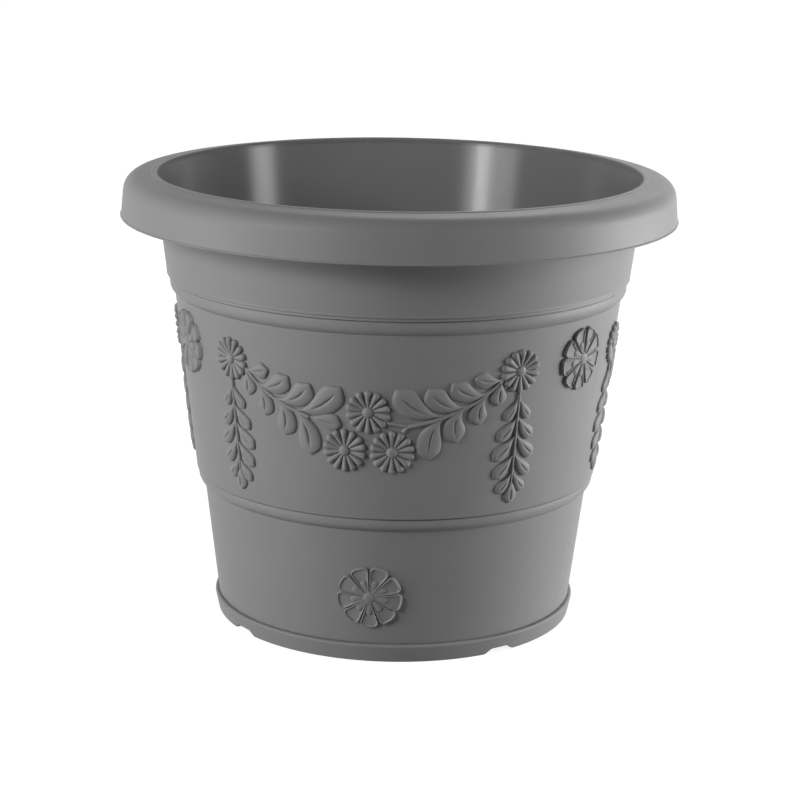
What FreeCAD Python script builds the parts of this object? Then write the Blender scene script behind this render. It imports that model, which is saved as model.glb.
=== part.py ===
import FreeCAD, Part
import math
import os

# Round flower pot, 400 mm across the rim, with a raised garland that repeats three times.
# Millimetres. Z is up, the origin is on the floor under the middle, and the middle of the
# first garland faces -Y. Azimuths run from -Y towards +X. The wall is a stack of tapered
# rings that meet face to face at the lines that show on the pot. Each ring has its own
# height and flare, and the rings above follow.

V = FreeCAD.Vector

# Wall
WALL = 2.0               # thickness, measured level
EDGE = 0.8               # softened lower edges
BULGE = 0.55             # how far a moulding bows out from its chord

# Foot ring
FOOT_H = 13.0
FOOT_STEP = 3.05         # how far it stands out from the drum
FOOT_ROUND = 1.2         # round of its upper edge
FOOT_TAPER = 2.1         # how far its outside draws in towards the floor
FOOT_LAP = 1.85          # how far its top reaches in under the drum
FOOT_LEAN = 0.8          # how far its inside draws in towards the floor
NOTCH_COUNT = 4
NOTCH_AZ = 42.2          # first drain notch
NOTCH_LOW_W = 26.0
NOTCH_TOP_W = 12.0
NOTCH_H = 3.6

# Base drum
DRUM_R = 130.85          # at the foot ring
DRUM_H = 80.4            # plain taper
DRUM_FLARE = 9.7
LOW_MOULD_H = 9.6        # moulding at the top of the drum
LOW_MOULD_STEP = 4.2
LOW_BAND_H = 6.1         # band over the moulding
LOW_BAND_FLARE = 0.85
FLOOR = 3.0              # thickness of the floor
DRAIN_R = 6.0
DRAIN_COUNT = 8
DRAIN_CIRCLE_R = 88.0

# Body wall
SHOULDER_H = 1.1         # small round over the drum
SHOULDER_STEP = 1.25
BODY_H = 127.2           # plain taper that carries the garland
BODY_FLARE = 14.8
MOULD_H = 9.2            # moulding at the top of the body
MOULD_STEP = 3.95
BAND_H = 3.6             # upright band over the moulding

# Neck band
NECK_ROUND_H = 4.8       # round at its lower edge
NECK_ROUND_STEP = 2.35
NECK_H = 67.0            # plain taper
NECK_FLARE = 8.25

# Rim collar
LIP_H = 4.0              # rim over the neck
LIP_ROUND = 2.0          # rolled edge of the mouth
RIM_OVERHANG = 23.8      # skirt's lower edge beyond the neck
RIM_ROUND = 12.0         # round between the rim's top and its skirt
RIM_FALL = 1.5           # fall of the rim's top from the lip to the round
SKIRT_H = 31.0           # lip's crest to the skirt's lower edge
SKIRT_FLARE = 1.5        # how far the skirt widens on its way down

# Garland, laid out on the wall: x across and y up from the middle daisy
SECTORS = 3
GARLAND_DEPTH = 50.8     # middle daisy below the upper end of the body's taper
DAISIES = {
    "daisy_left": (-104.9, 25.4),
    "daisy_right": (104.9, 25.4),
    "daisy_top": (0.0, 0.0),
    "daisy_low_left": (-16.4, -28.2),
    "daisy_low_right": (16.4, -28.2),
}
DAISY_R = 16.2
DAISY_PETALS = 14
PETAL_TIP_R = 2.45       # half width at the round end
PETAL_ROOT_R = 0.7       # half width at the boss
PETAL_LIFT = 0.1         # a petal's centre line above the wall
BOSS_R = 4.2
BOSS_H = 3.1
LEAF_H = 2.1
LEAF_SWELL = 1.4         # over 1 moves the widest place towards the tip
LEAF_FULL = 0.7          # under 1 fills out both ends
LEAF_POINTS = 10         # points along each edge
LEAF_CROWD = 1.6         # over 1 crowds them towards the tip
GROOVE_W = 1.2
GROOVE_DEEP = 0.6
GROOVE_FROM = 0.18       # ends of the midrib groove, as shares of the leaf's length
GROOVE_TO = 0.76
STEM_W = 2.6
STEM_LAP = 0.6           # overlap of one stem length with the next
SPRAY_STEM = [(89.4, 19.3), (84.9, 14.9), (78.6, 10.1), (70.8, 5.0), (63.1, 1.4), (54.5, -2.2),
              (47.7, -4.4), (41.8, -6.4)]
FORK_STEM = [(34.7, -8.0), (27.3, -9.7)]
FORK_ENDS = [(14.3, -7.4), (23.7, -13.7)]
# Each leaf: base, knee that draws its midrib aside, tip, width
SPRAY_LEAVES = [
    ((90.0, 20.2), (80.5, 19.8), (71.2, 22.9), 11.6), ((78.0, 10.2), (67.0, 7.8), (56.0, 20.6), 13.6),
    ((62.5, 2.0), (49.8, 0.6), (40.0, 17.3), 14.8), ((46.0, -3.2), (33.2, -3.0), (18.2, 16.5), 16.4),
    ((90.2, 19.2), (88.3, 10.0), (89.7, 1.8), 13.4), ((78.6, 9.2), (72.6, 0.0), (76.8, -10.4), 13.0),
    ((62.6, 1.0), (55.6, -9.5), (61.2, -22.3), 15.2), ((47.0, -4.6), (39.6, -18.0), (41.3, -34.3), 16.8),
]
SPRAY_END = ((41.5, -6.3), (31.0, -7.5), (17.8, -10.6), 12.8)
DROP_X = 105.5           # from the garland's middle to a drop's stem
DROP_TOP = 8.8
DROP_LOW = -54.0
DROP_TIP = -70.6
DROP_TIP_W = 12.0
# Each pair of drop leaves: height of the base, reach and height of the tip, width
DROP_PAIRS = [(5.0, 10.3, -9.3, 8.4), (-8.5, 14.3, -23.7, 10.2), (-21.5, 16.8, -37.4, 10.8),
              (-35.2, 15.1, -50.8, 10.2), (-48.8, 11.7, -61.9, 8.8)]
DROP_SAG = 1.2           # how far their knees lie in and down from midway
DROP_BASE = 1.0          # from a drop's stem line to the base of its leaves

# Rosettes
ROSETTE_R = 22.3
ROSETTE_PETALS = 9
ROSETTE_SPAN = 34.8      # degrees that a petal takes up
ROSETTE_ROUND = 2.8      # round of its outer corners
ROSETTE_H = 3.0
ROSETTE_RIDGE = 1.3      # width of the raised line round each petal
ROSETTE_FLOOR_H = 2.1    # inside that line
PETAL_START = 2.0        # inner ends of the petals, under the boss
POCKET_START = 7.0       # inner ends of their sunk insides, under the lobes
LOBE_R = 13.2
LOBE_W = 5.0
LOBE_H = 2.8
LOBE_START = 1.0         # inner end of a lobe, and its half width there
ROSETTE_BOSS_R = 4.6
ROSETTE_BOSS_H = 4.2
UPPER_ROSETTE_LIFT = 25.8    # over the middle daisy
LOWER_ROSETTE_LIFT = 36.3    # over the foot ring

# Room round a shape that trims or cuts another
SPARE = 15.0             # across and along the wall
BEHIND = 6.0             # into the wall
FRONT = 6.0              # out of the wall
SEAM_TURN = 31.0         # keeps the seams of round faces off the wall's own lines

# The stack of rings, from the floor up
drum_top_r = DRUM_R + DRUM_FLARE
low_band_r = drum_top_r + LOW_MOULD_STEP
shoulder_r = low_band_r + LOW_BAND_FLARE
body_low_r = shoulder_r + SHOULDER_STEP
body_top_r = body_low_r + BODY_FLARE
band_r = body_top_r + MOULD_STEP
neck_low_r = band_r + NECK_ROUND_STEP
neck_top_r = neck_low_r + NECK_FLARE
rim_r = neck_top_r + RIM_OVERHANG
drum_top_z = FOOT_H + DRUM_H
low_band_z = drum_top_z + LOW_MOULD_H
shoulder_z = low_band_z + LOW_BAND_H
body_low_z = shoulder_z + SHOULDER_H
body_top_z = body_low_z + BODY_H
band_z = body_top_z + MOULD_H
neck_z = band_z + BAND_H
neck_low_z = neck_z + NECK_ROUND_H
neck_top_z = neck_low_z + NECK_H
height = neck_top_z + LIP_H


def mid_bow(a, b, bow):
    """Middle point of the arc from a to b that bows out by the given depth to the right of a-b."""
    dx, dz = b[0] - a[0], b[1] - a[1]
    n = math.hypot(dx, dz)
    return ((a[0] + b[0]) / 2 + bow * dz / n, (a[1] + b[1]) / 2 - bow * dx / n)


def on_circle(centre, r, deg):
    """Point of a circle at the given angle."""
    return (centre[0] + r * math.cos(math.radians(deg)), centre[1] + r * math.sin(math.radians(deg)))


def revolve(path):
    """Solid of revolution of a closed path of (r, z) points; a pair is an arc's middle and end."""
    at = lambda p: V(p[0], 0, p[1])
    edges = []
    here = path[0]
    for step in path[1:] + [path[0]]:
        if isinstance(step[0], tuple):
            edges.append(Part.Arc(at(here), at(step[0]), at(step[1])).toShape())
            here = step[1]
        else:
            edges.append(Part.makeLine(at(here), at(step)))
            here = step
    face = Part.Face(Part.Wire(edges))
    return face.revolve(V(0, 0, 0), V(0, 0, 1), 360)


def body_r(z):
    return body_low_r + BODY_FLARE * (z - body_low_z) / BODY_H


def drum_r(z):
    return DRUM_R + DRUM_FLARE * (z - FOOT_H) / DRUM_H


garland_z = body_top_z - GARLAND_DEPTH
garland_r = body_r(garland_z)


def turned(shape, az):
    """Copy of a shape turned round the pot."""
    copy = shape.copy()
    copy.rotate(V(0, 0, 0), V(0, 0, 1), az)
    return copy


def seat(wall_r, az, z):
    """Placement on the wall: x across, y up the slope, z straight out of it."""
    slope = wall_r(z + 0.5) - wall_r(z - 0.5)
    a = math.radians(az)
    out = V(math.sin(a), -math.cos(a), 0)
    across = V(math.cos(a), math.sin(a), 0)
    up = V(out.x * slope, out.y * slope, 1).normalize()
    normal = across.cross(up)
    p = out * wall_r(z)
    return FreeCAD.Placement(FreeCAD.Matrix(across.x, up.x, normal.x, p.x, across.y, up.y, normal.y, p.y,
                                            across.z, up.z, normal.z, z, 0, 0, 0, 1))


def layer(wall_r, az, z, half_w, half_h, low, high):
    """Slice of the space outside the wall, from one height above its surface to another."""
    z0, z1 = z - half_h, z + half_h
    half = math.degrees(half_w / wall_r(z))
    pts = [V(wall_r(z0) + low, 0, z0), V(wall_r(z0) + high, 0, z0), V(wall_r(z1) + high, 0, z1),
           V(wall_r(z1) + low, 0, z1)]
    face = Part.Face(Part.makePolygon(pts + pts[:1]))
    face.rotate(V(0, 0, 0), V(0, 0, 1), az - half - 90)
    return face.revolve(V(0, 0, 0), V(0, 0, 1), 2 * half)


def prism(edges, place):
    """Block that stands through the wall on a flat outline."""
    block = Part.Face(Part.Wire(edges))
    block.translate(V(0, 0, -BEHIND))
    block = block.extrude(V(0, 0, BEHIND + FRONT))
    block.Placement = place.multiply(block.Placement)
    return block


def cap(radius, rise):
    """Sphere that shows a dome of the given plan radius and height above its base plane."""
    r = (radius * radius + rise * rise) / (2 * rise)
    return Part.makeSphere(r, V(0, 0, rise - r))


def azimuth(x):
    return math.degrees(x / garland_r)


def spot(*points):
    """Seat midway between the first and last of some garland points, and all in its own flat frame."""
    xm, ym = ((points[0][i] + points[-1][i]) / 2 for i in (0, 1))
    z = garland_z + ym
    across = body_r(z) / garland_r
    return seat(body_r, azimuth(xm), z), [V((x - xm) * across, y - ym, 0) for x, y in points]


def leaf(base, knee, tip, width):
    """Leaf block and midrib tool. The midrib is the parabola that leaves the base towards the knee
    and comes from there to the tip; the half width across it follows sin(pi t^swell)^full."""
    place, (p, k, q) = spot(base, knee, tip)
    rib = lambda t: p * (1 - t) ** 2 + k * (2 * t * (1 - t)) + q * t ** 2
    way = lambda t: ((k - p) * (1 - t) + (q - k) * t).normalize()
    full = lambda t: width / 2 * abs(math.sin(math.pi * t ** LEAF_SWELL)) ** LEAF_FULL
    edge = lambda t, s: rib(t) + V(-way(t).y, way(t).x, 0) * (s * max(full(t), (1 - t) * STEM_W / 3))
    shares = [1 - (1 - i / LEAF_POINTS) ** LEAF_CROWD for i in range(LEAF_POINTS)]
    edges = []
    for s in (1, -1):
        curve = Part.BSplineCurve()
        curve.interpolate([edge(t, s) for t in shares] + [q])
        edges.append(curve.toShape())
    edges.insert(1, Part.makeLine(edge(0, 1), edge(0, -1)))
    middle = (GROOVE_FROM + GROOVE_TO) / 2
    side = V(-way(middle).y, way(middle).x, 0) * (GROOVE_W / 2)
    groove = [Part.Arc(rib(GROOVE_FROM), rib(middle) + side * s, rib(GROOVE_TO)).toShape() for s in (1, -1)]
    return prism(edges, place), prism(groove, place)


def stem(a, b):
    place, (p, q) = spot(a, b)
    d = (q - p).normalize()
    s = V(-d.y, d.x, 0) * (STEM_W / 2)
    p, q = p - d * STEM_LAP, q + d * STEM_LAP
    corners = [p + s, p - s, q - s, q + s]
    return prism(Part.makePolygon(corners + corners[:1]).Edges, place)


def disc(x, y):
    """Block over the round place of a daisy, where leaves and stems stop."""
    place, _ = spot((x, y))
    return prism([Part.makeCircle(DAISY_R)], place)


def sprig(stems, leaves):
    """One raised solid from stem lengths and leaves, trimmed to the wall behind and a level front."""
    blocks = [stem(a, b) for a, b in stems]
    grooves = []
    for item in leaves:
        block, groove = leaf(*item)
        blocks.append(block)
        grooves.append(groove)
    xs, ys = zip(*[p for pair in stems for p in pair], *[p for item in leaves for p in item[:3]])
    az = azimuth((min(xs) + max(xs)) / 2)
    z = garland_z + (min(ys) + max(ys)) / 2
    half_w = (max(xs) - min(xs)) / 2 + SPARE
    half_h = (max(ys) - min(ys)) / 2 + SPARE
    solid = blocks[0].multiFuse(blocks[1:]).common(layer(body_r, az, z, half_w, half_h, 0, LEAF_H))
    return solid.cut(Part.makeCompound(grooves).common(
        layer(body_r, az, z, half_w, half_h, LEAF_H - GROOVE_DEEP, FRONT)))


def mirrored(points, s):
    return [(s * x, y) for x, y in points]


def lengths(points):
    return list(zip(points, points[1:]))


def spray(s):
    """Spray on one side of the garland: s is 1 on the right, which forks, and -1 on the left."""
    stems = lengths(mirrored(SPRAY_STEM, s))
    rows = SPRAY_LEAVES
    if s > 0:
        stems += lengths(SPRAY_STEM[-1:] + FORK_STEM)
        stems += [(FORK_STEM[-1], end) for end in FORK_ENDS]
    else:
        rows = rows + [SPRAY_END]
    solid = sprig(stems, [(*mirrored(row[:3], s), row[3]) for row in rows])
    return solid.cut(Part.makeCompound([disc(x, y) for x, y in DAISIES.values() if s * x >= 0]))


def drop():
    """Leafy drop that hangs under a corner daisy, at azimuth 0."""
    low = (0, DROP_LOW + STEM_LAP)
    leaves = [(low, (0, (low[1] + DROP_TIP) / 2), (0, DROP_TIP), DROP_TIP_W)]
    for base_y, reach, tip_y, width in DROP_PAIRS:
        knee_x, knee_y = (DROP_BASE + reach) / 2 - DROP_SAG, (base_y + tip_y) / 2 - DROP_SAG
        for s in (1, -1):
            leaves.append((*mirrored([(DROP_BASE, base_y), (knee_x, knee_y), (reach, tip_y)], s), width))
    return sprig([((0, DROP_TOP), (0, DROP_LOW))], leaves)


def daisy(y):
    """Half-round petals that widen towards their ends, round a domed boss, at azimuth 0."""
    z = garland_z + y
    reach = DAISY_R - PETAL_TIP_R
    root = BOSS_R - PETAL_ROOT_R
    start = V(root, 0, -PETAL_ROOT_R)
    end = V(reach, 0, -PETAL_TIP_R)
    nose = V(reach + PETAL_TIP_R * math.sin(math.pi / 4), 0, -PETAL_TIP_R * math.cos(math.pi / 4))
    tip = V(DAISY_R, 0, 0)
    half = Part.Wire([Part.makeLine(V(root, 0, 0), start), Part.makeLine(start, end),
                      Part.Arc(end, nose, tip).toShape(), Part.makeLine(tip, V(root, 0, 0))])
    petal = Part.Face(half).revolve(V(0, 0, 0), V(1, 0, 0), 360)
    petal.rotate(V(0, 0, 0), V(1, 0, 0), SEAM_TURN)
    petal.translate(V(0, 0, PETAL_LIFT))
    petals = [turned(petal, 90 + 360 * i / DAISY_PETALS) for i in range(DAISY_PETALS)]
    solid = turned(cap(BOSS_R, BOSS_H), SEAM_TURN).multiFuse(petals)
    solid.Placement = seat(body_r, 0, z)
    return solid.common(layer(body_r, 0, z, DAISY_R + SPARE, DAISY_R + SPARE, 0, FRONT))


def wedge(inset, start):
    """Petal outline about +x: straight sides, round corners and a round end, drawn in by the inset."""
    half = math.radians(ROSETTE_SPAN / 2)
    r = ROSETTE_ROUND - inset
    end = ROSETTE_R - inset
    back = ROSETTE_ROUND / math.sin(half)
    run = math.sqrt((end - r) ** 2 - ROSETTE_ROUND ** 2) - back * math.cos(half)
    centre = (back + run * math.cos(half), run * math.sin(half))
    turn = math.degrees(math.atan2(centre[1], centre[0]))
    low = max(start, inset / math.sin(half) + EDGE / 2)
    side = [(low, (low - inset / math.sin(half)) * math.tan(half))]
    side += [on_circle(centre, r, deg) for deg in (90 + ROSETTE_SPAN / 2, 45 + (ROSETTE_SPAN / 2 + turn) / 2, turn)]
    up = [V(x, y, 0) for x, y in side]
    down = [V(x, -y, 0) for x, y in side]
    return [Part.makeLine(up[0], up[1]), Part.Arc(*up[1:]).toShape(),
            Part.Arc(up[3], V(end, 0, 0), down[3]).toShape(), Part.Arc(*down[:0:-1]).toShape(),
            Part.makeLine(down[1], down[0]), Part.makeLine(down[0], up[0])]


def lobe():
    """Inner petal about +x with a round end."""
    w = LOBE_W / 2
    left, right = V(LOBE_R - w, -w, 0), V(LOBE_R - w, w, 0)
    low_left, low_right = V(LOBE_START, -LOBE_START, 0), V(LOBE_START, LOBE_START, 0)
    return [Part.makeLine(low_left, left), Part.Arc(left, V(LOBE_R, 0, 0), right).toShape(),
            Part.makeLine(right, low_right), Part.makeLine(low_right, low_left)]


def rosette(wall_r, z):
    """Framed petals, an inner ring of lobes and a domed boss, at azimuth 0."""
    place = seat(wall_r, 0, z)
    reach = ROSETTE_R + SPARE
    part = lambda low, high: layer(wall_r, 0, z, reach, reach, low, high)
    petals, pockets, lobes = [], [], []
    for i in range(ROSETTE_PETALS):
        spin = FreeCAD.Rotation(V(0, 0, 1), 360 * i / ROSETTE_PETALS - 90)
        at = place.multiply(FreeCAD.Placement(V(0, 0, 0), spin))
        petals.append(prism(wedge(0, PETAL_START), at))
        pockets.append(prism(wedge(ROSETTE_RIDGE, POCKET_START), at))
        lobes.append(prism(lobe(), at))
    boss = turned(cap(ROSETTE_BOSS_R, ROSETTE_BOSS_H), SEAM_TURN)
    boss.Placement = place.multiply(boss.Placement)
    raised = Part.makeCompound(petals).common(part(-BEHIND / 3, ROSETTE_H))
    raised = raised.cut(Part.makeCompound(pockets).common(part(ROSETTE_FLOOR_H, FRONT)))
    inner = lobes[0].multiFuse(lobes[1:]).common(part(-BEHIND / 2, LOBE_H))
    return inner.multiFuse(raised.Solids + [boss]).common(part(0, FRONT))


def export(name, shape):
    """Write one node, which has to be one valid solid."""
    if len(shape.Solids) != 1 or not shape.Solids[0].isValid():
        raise ValueError("%s has %d solids" % (name, len(shape.Solids)))
    solid = shape.Solids[0]
    solid.exportStep("parts/%s.step" % name)
    print("%s: %.0f mm3" % (name, solid.Volume))


os.makedirs("parts", exist_ok=True)

# Rim collar: rolled lip, sloping top, turned-down skirt
mouth_r = neck_top_r - WALL
skirt_top_r = rim_r - SKIRT_FLARE
skirt_z = height - SKIRT_H
round_c = (skirt_top_r - RIM_ROUND, height - RIM_FALL - RIM_ROUND)
lip_c = (mouth_r + LIP_ROUND, height - LIP_ROUND)
rim_collar = revolve([
    (mouth_r, neck_top_z),
    (mouth_r, lip_c[1]),
    (on_circle(lip_c, LIP_ROUND, 135), (lip_c[0], height)),
    (round_c[0], height - RIM_FALL),
    (on_circle(round_c, RIM_ROUND, 45), (skirt_top_r, round_c[1])),
    (rim_r, skirt_z + EDGE),
    (rim_r - EDGE, skirt_z),
    (rim_r - WALL, skirt_z),
    (skirt_top_r - WALL, round_c[1]),
    (on_circle(round_c, RIM_ROUND - WALL, 45), (round_c[0], round_c[1] + RIM_ROUND - WALL)),
    (neck_top_r, height - WALL),
    (neck_top_r, neck_top_z),
])

# Neck band: plain taper with a rounded lower edge
neck_foot = (band_r, neck_z)
neck_low = (neck_low_r, neck_low_z)
neck_band = revolve([
    (neck_top_r, neck_top_z),
    neck_low,
    (mid_bow(neck_foot, neck_low, BULGE), neck_foot),
    (band_r - WALL, neck_z),
    (neck_low_r - WALL, neck_low_z),
    (mouth_r, neck_top_z),
])

# Body wall: band and moulding at the top, long taper, small round at the shoulder
band_foot = (band_r, band_z)
body_top = (body_top_r, body_top_z)
body_low = (body_low_r, body_low_z)
body_foot = (shoulder_r, shoulder_z)
body_wall = revolve([
    neck_foot,
    band_foot,
    (mid_bow(body_top, band_foot, BULGE), body_top),
    body_low,
    (mid_bow(body_foot, body_low, EDGE / 2), body_foot),
    (shoulder_r - WALL, shoulder_z),
    (body_low_r - WALL, body_low_z),
    (body_top_r - WALL, body_top_z),
    (band_r - WALL, band_z),
    (band_r - WALL, neck_z),
])

# Base drum: moulding, taper and floor with drain holes
drum_top = (drum_top_r, drum_top_z)
low_band = (low_band_r, low_band_z)
base_drum = revolve([
    body_foot,
    low_band,
    (mid_bow(drum_top, low_band, BULGE), drum_top),
    (DRUM_R, FOOT_H),
    (0.0, FOOT_H),
    (0.0, FOOT_H + FLOOR),
    (drum_r(FOOT_H + FLOOR) - WALL, FOOT_H + FLOOR),
    (drum_top_r - WALL, drum_top_z),
    (low_band_r - WALL, low_band_z),
    (shoulder_r - WALL, shoulder_z),
])
for i in range(DRAIN_COUNT):
    x, y = on_circle((0, 0), DRAIN_CIRCLE_R, 360 * (i + 0.5) / DRAIN_COUNT)
    base_drum = base_drum.cut(Part.makeCylinder(DRAIN_R, 3 * FLOOR, V(x, y, FOOT_H - FLOOR)))

# Foot ring with drain notches in its lower edge
foot_r = DRUM_R + FOOT_STEP
sole_r = foot_r - FOOT_TAPER
foot_inner_r = DRUM_R - FOOT_LAP
foot_c = (foot_r - FOOT_ROUND, FOOT_H - FOOT_ROUND)
foot_ring = revolve([
    (foot_inner_r, FOOT_H),
    (foot_c[0], FOOT_H),
    (on_circle(foot_c, FOOT_ROUND, 45), (foot_r, foot_c[1])),
    (sole_r, EDGE),
    (sole_r - EDGE, 0.0),
    (foot_inner_r - FOOT_LEAN, 0.0),
])
# The slanted sides run on below the floor by the notch's own height
top = NOTCH_TOP_W / 2
low = NOTCH_LOW_W - top
corners = [V(-low, -foot_r - SPARE, -NOTCH_H), V(low, -foot_r - SPARE, -NOTCH_H),
           V(top, -foot_r - SPARE, NOTCH_H), V(-top, -foot_r - SPARE, NOTCH_H)]
notch = Part.Face(Part.makePolygon(corners + corners[:1])).extrude(V(0, 2 * SPARE, 0))
for i in range(NOTCH_COUNT):
    foot_ring = foot_ring.cut(turned(notch, NOTCH_AZ + 360 * i / NOTCH_COUNT))

for name, shape in (("rim_collar", rim_collar), ("neck_band", neck_band), ("body_wall", body_wall),
                    ("base_drum", base_drum), ("foot_ring", foot_ring)):
    export(name, shape)

# Ornaments of one garland, each made once and turned to its place round the pot
daisies = {y: daisy(y) for y in sorted({at[1] for at in DAISIES.values()})}
ornaments = {name: turned(daisies[y], azimuth(x)) for name, (x, y) in DAISIES.items()}
hanging = drop()
for name, s in (("left", -1), ("right", 1)):
    ornaments["spray_" + name] = spray(s)
    ornaments["drop_" + name] = turned(hanging, azimuth(s * DROP_X))
ornaments["rosette_upper"] = turned(rosette(body_r, garland_z + UPPER_ROSETTE_LIFT), 180 / SECTORS)
ornaments["rosette_lower"] = rosette(drum_r, FOOT_H + LOWER_ROSETTE_LIFT)
for k in range(SECTORS):
    for name, shape in ornaments.items():
        export("s%d_%s" % (k + 1, name), turned(shape, 360 * k / SECTORS))
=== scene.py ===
# %% [markdown]
# # A moulded flower pot
# The pot is one moulding of grey plastic: a wide turned-down rim, a neck, a body with a raised
# garland, a lower drum and a foot ring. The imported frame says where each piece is. The cells below
# make each piece again as a fine surface in the same place, give it its plastic, and light it.

# %% Load the frame
import math

import bmesh
import bpy
import numpy as np
from mathutils import Matrix


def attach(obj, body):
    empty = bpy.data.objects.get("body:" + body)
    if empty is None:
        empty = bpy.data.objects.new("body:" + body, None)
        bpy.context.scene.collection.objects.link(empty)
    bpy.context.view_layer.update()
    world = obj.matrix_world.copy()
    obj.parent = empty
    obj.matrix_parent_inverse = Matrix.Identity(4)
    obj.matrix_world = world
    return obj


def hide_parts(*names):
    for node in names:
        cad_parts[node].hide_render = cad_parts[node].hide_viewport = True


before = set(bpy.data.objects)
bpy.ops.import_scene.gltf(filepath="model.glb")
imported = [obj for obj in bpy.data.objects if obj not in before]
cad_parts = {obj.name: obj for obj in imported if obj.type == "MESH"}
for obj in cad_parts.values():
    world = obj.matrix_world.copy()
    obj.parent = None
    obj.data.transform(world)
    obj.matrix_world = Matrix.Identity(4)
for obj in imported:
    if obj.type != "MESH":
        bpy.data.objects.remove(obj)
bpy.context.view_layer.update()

MM = 0.001

# %% [markdown]
# Every surface here is a grid: a function of two parameters gives a point for each row and column,
# and four neighbouring points make a face. Working on whole arrays keeps the shapes exact and quick.
# One helper joins the grids of a piece, merges the points that meet at seams and poles, and turns
# the faces outwards.

# %% From grids to a piece
MERGE = 0.002            # mm, points closer than this are one point


def quads(count_u, count_v, close_u, close_v, start):
    """Corner numbers of a grid's faces: each face joins a point to its neighbours along u and v."""
    index = start + np.arange(count_u * count_v).reshape(count_u, count_v)
    if close_u:
        index = np.vstack([index, index[:1]])
    if close_v:
        index = np.hstack([index, index[:, :1]])
    corners = [index[:-1, :-1], index[1:, :-1], index[1:, 1:], index[:-1, 1:]]
    return np.stack(corners, -1).reshape(-1, 4)


def make_piece(name, sheets, node, crease):
    """Joins sheets into one piece that stands for a node of the frame.

    A sheet is a grid of points in mm, whether it closes along u and along v, and its finish:
    0 for the matt outside, 1 for the smooth inside, or one of these for each row of faces.
    """
    points, faces, finishes, start = [], [], [], 0
    for grid, close_u, close_v, finish in sheets:
        count_u, count_v = grid.shape[:2]
        cells = quads(count_u, count_v, close_u, close_v, start)
        rows = count_u if close_u else count_u - 1
        points.append(grid.reshape(-1, 3) * MM)
        faces.append(cells)
        finishes.append(np.repeat(np.broadcast_to(finish, rows), len(cells) // rows))
        start += count_u * count_v
    mesh = bpy.data.meshes.new(name)
    mesh.from_pydata(np.concatenate(points), [], np.concatenate(faces))
    mesh.polygons.foreach_set("material_index", np.concatenate(finishes).astype(np.int32))
    work = bmesh.new()
    work.from_mesh(mesh)
    bmesh.ops.remove_doubles(work, verts=work.verts, dist=MERGE * MM)
    bmesh.ops.recalc_face_normals(work, faces=work.faces)
    work.to_mesh(mesh)
    work.free()
    mesh.polygons.foreach_set("use_smooth", np.ones(len(mesh.polygons), bool))
    mesh.set_sharp_from_angle(angle=math.radians(crease))
    piece = bpy.data.objects.new(name, mesh)
    bpy.context.scene.collection.objects.link(piece)
    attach(piece, "root")
    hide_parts(node)
    return piece


# %% [markdown]
# The wall pieces are turned shapes, so each is an outline in the plane of radius and height that is
# carried round the axis. On the real pot every corner is rounded a little by the mould, and those
# rounds are what catch the light, so the outline helper turns each corner into an arc of a circle.
# A lathe modifier could turn the outline too, but a grid lets the radius change with the azimuth.

# %% Turned outlines
ARC_STEPS = 9            # points on each rounded corner
KEEP_FLAT = 0.8          # mm, a point this far beyond an arc keeps the flat run flat in shading
FLAT_SHARE = 0.25        # of the run, at most this far
COLUMNS = 360
WALL_CREASE = 50         # degrees, edges that turn more than this stay sharp in shading


def rounded(corners):
    """Closed outline of (radius, height) rows whose corners are arcs, and the finish of each row.

    A corner is r, z, the arc's radius and the finish. The circle touches both sides of the corner;
    points between the two touching points weigh them by sines of the angle still to turn. No corner
    may lie on a straight run, because an angle of zero has no such weights.
    """
    table = np.array(corners, float)
    p, radius = table[:, :2], table[:, 2]
    run = np.roll(p, -1, 0) - p
    length = np.linalg.norm(run, axis=1)
    ahead = run / length[:, None]
    behind = -np.roll(ahead, 1, 0)
    bend = np.pi - np.arccos(np.clip((ahead * behind).sum(1), -1, 1))
    cut = radius * np.tan(bend / 2)
    start, end = p + behind * cut[:, None], p + ahead * cut[:, None]
    inward = (ahead + behind) / np.linalg.norm(ahead + behind, axis=1)[:, None]
    centre = (p + inward * (radius / np.cos(bend / 2))[:, None])[:, None]
    t = np.linspace(0, 1, ARC_STEPS)
    from_start = (np.sin((1 - t) * bend[:, None]) / np.sin(bend)[:, None])[..., None]
    from_end = (np.sin(t * bend[:, None]) / np.sin(bend)[:, None])[..., None]
    arc = centre + from_start * (start[:, None] - centre) + from_end * (end[:, None] - centre)
    flat = np.minimum(KEEP_FLAT, FLAT_SHARE * (length - cut - np.roll(cut, -1)))[:, None]
    before = start + behind * np.roll(flat, 1, 0)
    after = end + ahead * flat
    rows = np.concatenate([before[:, None], arc, after[:, None]], 1).reshape(-1, 2)
    return rows, np.repeat(table[:, 3].astype(int), ARC_STEPS + 2)


def around(r, z, az):
    """Carries rows of radius and height round the axis: x = r sin az, y = -r cos az."""
    r, z = np.broadcast_arrays(r, z)
    return np.stack([r * np.sin(az), -r * np.cos(az), z], -1)


# %% [markdown]
# Three side slides form the outside of the real pot. Where two of them meet they leave a faint
# upright line, and a small nick where that line crosses the edge of the neck. Both are shapes, so
# they go into the radius: a narrow ridge and a dent, each a bell curve across the line.

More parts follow.
